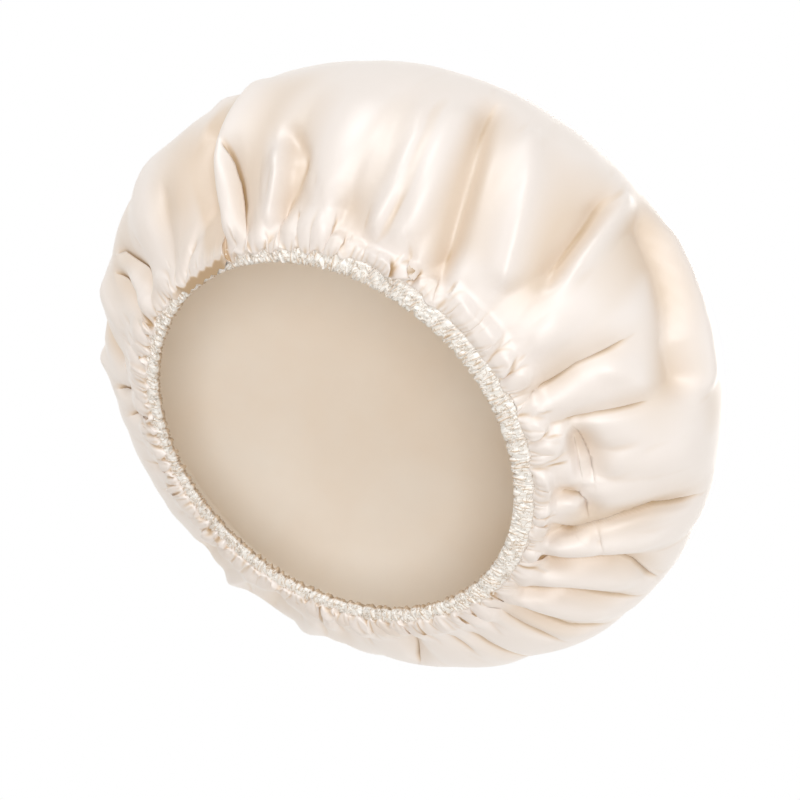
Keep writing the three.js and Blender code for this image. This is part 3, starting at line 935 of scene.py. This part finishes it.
def rim_casing():
    """The finely pleated strip, folded round the edges of both layers, with the elastic inside."""
    runs, lifts, out_run, out_lift = casing_lines()
    tapered = (lifts > 0) * smooth((runs - CASING_TAPER) / (CASING_EDGE - CASING_TAPER))
    lifts = lifts - CASING_OUTSIDE * tapered
    azimuth = ring_azimuths(CASING_COLUMNS)[None, :]
    share = np.linspace(0, 1, len(runs))[:, None]
    height = pleat_height(azimuth, share)
    around = np.concatenate([[0], np.cumsum(np.hypot(np.diff(runs), np.diff(lifts)))])[:, None]
    height = height + CRUMPLE_DEPTH * crumple(azimuth + 0 * share, around + 0 * azimuth)
    sewn = np.exp(-((runs[:, None] - STITCH_RUN) / SEWN_WIDTH) ** 2)
    height = height * (1 - SEWN_FLATTENS * sewn) - SEWN_DEPTH * sewn
    wave = CASING_WAVE * wander(azimuth, "casing_wave")
    wave = wave * smooth((CASING_WAVE_END - runs[:, None]) / CASING_WAVE_FADE)
    run = runs[:, None] + height * out_run[:, None] + wave
    lift = lifts[:, None] + height * out_lift[:, None]
    covers = (out_lift[:, None] > 0) & (runs[:, None] < CASING_TAPER)
    lift = np.where(covers, np.maximum(lift, ELASTIC_COVER), lift)
    rings = place(azimuth + 0 * run, np.maximum(run, CASING_LEAST_RUN), lift)
    rings[..., 2] = np.maximum(rings[..., 2], -CASING_LOWEST_SHARE * FLOOR_GAP)
    piece = ring_mesh("casing_strip", rings, inwards=True)
    # Painted shade in the pleats' hollows and along the inside of the casing's turn
    inner_edge_shade = CASING_EDGE_SHADE * smooth(-out_lift / CASING_EDGE_TURN)[:, None]
    mark_painted_shade(piece, np.maximum(tucks(rings, TUCK_LEAST), inner_edge_shade))
    return piece


def stitch_row(name, face, side):
    """A row of separate short stitches that lie in the casing's sewn groove."""
    turn = np.arange(STITCH_SIDES) / STITCH_SIDES * 2 * pi
    along = np.linspace(-1, 1, STITCH_STEPS)
    pitch = 2 * pi / STITCHES
    points = []
    faces = []
    for number in range(STITCHES):
        first = len(points)
        last = first + (STITCH_STEPS - 1) * STITCH_SIDES
        for share in along:
            sink = STITCH_END_SINK * abs(share) ** STITCH_END_POWER
            azimuth = number * pitch + share * pitch / 2 * STITCH_SHARE
            run = STITCH_RUN + THREAD_RADIUS * np.cos(turn)
            lift = face + side * (THREAD_RADIUS * np.sin(turn) - sink)
            points += place(azimuth + 0 * run, run, lift).tolist()
        for low in range(first, last, STITCH_SIDES):
            for i in range(STITCH_SIDES):
                j = (i + 1) % STITCH_SIDES
                faces.append([low + i, low + j, low + STITCH_SIDES + j, low + STITCH_SIDES + i])
        faces.append([first + i for i in reversed(range(STITCH_SIDES))])
        faces.append([last + i for i in range(STITCH_SIDES)])
    mesh = bpy.data.meshes.new(name)
    mesh.from_pydata(points, [], faces)
    mesh.polygons.foreach_set("use_smooth", [True] * len(faces))
    mesh.update()
    piece = bpy.data.objects.new(name, mesh)
    bpy.context.scene.collection.objects.link(piece)
    return piece


# Materials

def new_material(name, colour, roughness):
    material = bpy.data.materials.new(name)
    material.use_nodes = True
    shader = material.node_tree.nodes["Principled BSDF"]
    shader.inputs["Base Color"].default_value = (*linear(colour), 1)
    shader.inputs["Roughness"].default_value = roughness
    return material, shader


def linear(colour):
    """A colour written in 8-bit sRGB values, as linear light."""
    value = np.array(colour) / 255
    return np.where(value <= 0.04045, value / 12.92, ((value + 0.055) / 1.055) ** 2.4).tolist()


def noise(material, scale, detail):
    tree = material.node_tree
    node = tree.nodes.new("ShaderNodeTexNoise")
    node.inputs["Scale"].default_value = scale
    node.inputs["Detail"].default_value = detail
    tree.links.new(tree.nodes.new("ShaderNodeTexCoord").outputs["Object"], node.inputs["Vector"])
    return node.outputs["Fac"]


def bump(material, height, distance, strength, normal=None):
    tree = material.node_tree
    node = tree.nodes.new("ShaderNodeBump")
    node.inputs["Distance"].default_value = distance
    node.inputs["Strength"].default_value = strength
    tree.links.new(height, node.inputs["Height"])
    if normal is not None:
        tree.links.new(normal, node.inputs["Normal"])
    return node.outputs["Normal"]


def toned(material, share, colours, places=(0, 1)):
    """A colour between two, as a share goes from the first place to the second."""
    tree = material.node_tree
    ramp = tree.nodes.new("ShaderNodeValToRGB")
    for element, spot, colour in zip(ramp.color_ramp.elements, places, colours):
        element.position = spot
        element.color = (*linear(colour), 1)
    tree.links.new(share, ramp.inputs["Fac"])
    return ramp.outputs["Color"]


def with_painted_shade(material, colour):
    """The base colour with painted shade: deeper and warmer in the fabric's hollows and folds."""
    tree = material.node_tree
    layer = tree.nodes.new("ShaderNodeAttribute")
    layer.attribute_name = "painted_shade"
    ramp = tree.nodes.new("ShaderNodeValToRGB")
    ramp.color_ramp.elements[0].color = (*linear(colour), 1)
    ramp.color_ramp.elements[1].color = (*linear(TUCK_PAINTED_SHADE_COLOUR), 1)
    middle = ramp.color_ramp.elements.new(FOLD_SHADE)
    middle.color = (*linear(FOLD_PAINTED_SHADE_COLOUR), 1)
    tree.links.new(layer.outputs["Fac"], ramp.inputs["Fac"])
    return ramp.outputs["Color"]


def with_painted_crease_shade(material, base, most):
    """The base colour, with thin random lines of painted crease shade."""
    tree = material.node_tree
    lines = tree.nodes.new("ShaderNodeMath")
    lines.operation = "COMPARE"
    lines.inputs[1].default_value = 0.5
    lines.inputs[2].default_value = CREASE_SHADE_WIDTH
    tree.links.new(noise(material, *CREASE_SHADE_NOISE), lines.inputs[0])
    share = tree.nodes.new("ShaderNodeMath")
    share.operation = "MULTIPLY"
    share.inputs[1].default_value = most
    tree.links.new(lines.outputs[0], share.inputs[0])
    mix = tree.nodes.new("ShaderNodeMixRGB")
    mix.inputs["Color2"].default_value = (*linear(CREASE_PAINTED_SHADE_COLOUR), 1)
    tree.links.new(share.outputs[0], mix.inputs["Fac"])
    tree.links.new(base, mix.inputs["Color1"])
    return mix.outputs["Color"]


def satin(name, colour, roughness, crease_shade_share=0):
    """Satin with painted shade in its hollows, and a share of thin random lines of painted crease
    shade where it is pressed into small pleats.
    """
    material, shader = new_material(name, colour, roughness)
    links = material.node_tree.links
    base = with_painted_shade(material, colour)
    if crease_shade_share:
        base = with_painted_crease_shade(material, base, crease_shade_share)
    links.new(base, shader.inputs["Base Color"])
    crinkle = bump(material, noise(material, *SATIN_CRINKLE_NOISE), *SATIN_CRINKLE)
    grain = bump(material, noise(material, *SATIN_GRAIN_NOISE), *SATIN_GRAIN, crinkle)
    links.new(grain, shader.inputs["Normal"])
    for socket, value in SATIN_GLOSS.items():
        shader.inputs[socket].default_value = value
    return material


def film():
    """The lining's thin film: soft clouds of tone, soft waves and a fine grain."""
    material, shader = new_material("lining_film", FILM_COLOUR, FILM_ROUGHNESS)
    links = material.node_tree.links
    clouds = noise(material, *FILM_TONE_NOISE)
    tone = toned(material, clouds, FILM_TONES, FILM_TONE_PLACES)
    links.new(tone, shader.inputs["Base Color"])
    waves = bump(material, noise(material, *FILM_WAVE_NOISE), *FILM_WAVE)
    grain = bump(material, noise(material, *FILM_GRAIN_NOISE), *FILM_GRAIN, waves)
    links.new(grain, shader.inputs["Normal"])
    return material


def elastic():
    """Knitted elastic: rubber cords under a fine, even cover of thread."""
    material, shader = new_material("elastic", ELASTIC_COLOUR, ELASTIC_ROUGHNESS)
    tree = material.node_tree
    knit = noise(material, *ELASTIC_KNIT_NOISE)
    tree.links.new(toned(material, knit, ELASTIC_TONES), shader.inputs["Base Color"])
    cords = tree.nodes.new("ShaderNodeTexWave")
    cords.bands_direction = "Z"
    cords.inputs["Scale"].default_value = ELASTIC_CORD_SCALE
    tree.links.new(tree.nodes.new("ShaderNodeTexCoord").outputs["Object"], cords.inputs["Vector"])
    ribs = bump(material, cords.outputs["Fac"], *ELASTIC_CORDS)
    tree.links.new(bump(material, knit, *ELASTIC_KNIT, ribs), shader.inputs["Normal"])
    return material


def thread():
    """Spun thread: fine fibres, with a little unevenness of tone and gloss."""
    material, shader = new_material("thread", THREAD_COLOUR, THREAD_ROUGHNESS)
    tree = material.node_tree
    fibres = noise(material, *THREAD_FIBRE_NOISE)
    tree.links.new(toned(material, fibres, THREAD_TONES), shader.inputs["Base Color"])
    gloss = tree.nodes.new("ShaderNodeMapRange")
    gloss.inputs["To Min"].default_value = THREAD_LEAST_ROUGH
    gloss.inputs["To Max"].default_value = THREAD_MOST_ROUGH
    tree.links.new(fibres, gloss.inputs["Value"])
    tree.links.new(gloss.outputs["Result"], shader.inputs["Roughness"])
    tree.links.new(bump(material, fibres, *THREAD_FIBRES), shader.inputs["Normal"])
    return material


# Stage

def add_camera():
    data = bpy.data.cameras.new("camera")
    data.lens = CAMERA_LENS
    data.sensor_width = CAMERA_SENSOR
    camera = bpy.data.objects.new("camera", data)
    bpy.context.scene.collection.objects.link(camera)
    turn = Matrix.Rotation(pi / 2 + CAMERA_ELEVATION, 4, "X") @ Matrix.Rotation(CAMERA_ROLL, 4, "Z")
    camera.matrix_world = turn @ Matrix.Translation(-OPENING_FROM_CAMERA)
    bpy.context.scene.camera = camera


def add_lamp(name, azimuth, elevation, strength, angle, colour):
    """A soft lamp that shines from an azimuth, 0 at the photograph's side, and an elevation."""
    data = bpy.data.lights.new(name, "SUN")
    data.energy = strength
    data.color = colour
    data.angle = radians(angle)
    lamp = bpy.data.objects.new(name, data)
    bpy.context.scene.collection.objects.link(lamp)
    turn = Matrix.Rotation(radians(azimuth), 4, "Z")
    lamp.matrix_world = turn @ Matrix.Rotation(radians(90 - elevation), 4, "X")


def rays_that_look(tree):
    """1 for the rays that see a background: the camera's, reflections and transmission."""
    path = tree.nodes.new("ShaderNodeLightPath")
    total = path.outputs["Is Camera Ray"]
    for name in ("Is Glossy Ray", "Is Transmission Ray"):
        node = tree.nodes.new("ShaderNodeMath")
        node.operation = "MAXIMUM"
        tree.links.new(total, node.inputs[0])
        tree.links.new(path.outputs[name], node.inputs[1])
        total = node.outputs[0]
    return total


def add_world():
    world = bpy.data.worlds.new("studio")
    world.use_nodes = True
    tree = world.node_tree
    light = tree.nodes["Background"]
    light.inputs["Color"].default_value = (*AMBIENT_COLOUR, 1)
    light.inputs["Strength"].default_value = AMBIENT_STRENGTH
    white = tree.nodes.new("ShaderNodeBackground")
    white.inputs["Color"].default_value = (1, 1, 1, 1)
    mix = tree.nodes.new("ShaderNodeMixShader")
    tree.links.new(rays_that_look(tree), mix.inputs["Fac"])
    tree.links.new(light.outputs[0], mix.inputs[1])
    tree.links.new(white.outputs[0], mix.inputs[2])
    tree.links.new(mix.outputs[0], tree.nodes["World Output"].inputs["Surface"])
    bpy.context.scene.world = world


def add_floor():
    """A pale floor that is only there from above, so that the cap's inside shows from below."""
    half = FLOOR_SIZE / 2
    corners = [(-half, -half), (half, -half), (half, half), (-half, half)]
    mesh = bpy.data.meshes.new("floor")
    mesh.from_pydata([(x, y, -FLOOR_GAP) for x, y in corners], [], [(0, 1, 2, 3)])
    floor = bpy.data.objects.new("floor", mesh)
    bpy.context.scene.collection.objects.link(floor)
    material, shader = new_material("floor", FLOOR_COLOUR, FLOOR_ROUGHNESS)
    tree = material.node_tree
    front = tree.nodes.new("ShaderNodeMath")
    front.operation = "SUBTRACT"
    tree.links.new(rays_that_look(tree), front.inputs[0])
    tree.links.new(tree.nodes.new("ShaderNodeNewGeometry").outputs["Backfacing"], front.inputs[1])
    front.use_clamp = True
    clear = tree.nodes.new("ShaderNodeBsdfTransparent")
    mix = tree.nodes.new("ShaderNodeMixShader")
    tree.links.new(front.outputs[0], mix.inputs["Fac"])
    tree.links.new(clear.outputs[0], mix.inputs[1])
    tree.links.new(shader.outputs[0], mix.inputs[2])
    tree.links.new(mix.outputs[0], tree.nodes["Material Output"].inputs["Surface"])
    mesh.materials.append(material)


def dress(piece, material, slot, *nodes):
    """Gives a piece its material and its body, and hides the CAD nodes that it stands for; the slot is
    not used.
    """
    piece.data.materials.append(material)
    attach(piece, "root")
    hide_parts(*nodes)


def main():
    bpy.context.scene.view_settings.view_transform = "Standard"
    add_camera()
    add_world()
    add_floor()
    for name, settings in LAMPS.items():
        add_lamp(name, **settings)
    cloth = satin("satin", SATIN_COLOUR, SATIN_ROUGHNESS)
    strip_cloth = satin("satin_strip", STRIP_PAINTED_HIGHLIGHT_COLOUR, STRIP_ROUGHNESS, STRIP_CREASE_SHADE)
    cotton = thread()
    shell = outer_shell()
    dress(shell, cloth, "satin", "outer_shell")
    lining = inner_lining()
    dress(lining, film(), "lining_film", "inner_lining")
    casing = rim_casing()
    dress(casing, strip_cloth, "satin", "rim_casing")
    for name, face, side in (
        ("needle_stitches", CASING_OUTSIDE - STITCH_INSET, 1),
        ("bobbin_stitches", CASING_INSIDE + STITCH_INSET, -1),
    ):
        node = name.split("_")[0] + "_thread"
        dress(stitch_row(name, face, side), cotton, "thread", node)
    band = elastic()
    for node, material in (("elastic_band", band), ("elastic_tack", cotton)):
        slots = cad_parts[node].data.materials
        slots.clear()
        slots.append(material)


main()
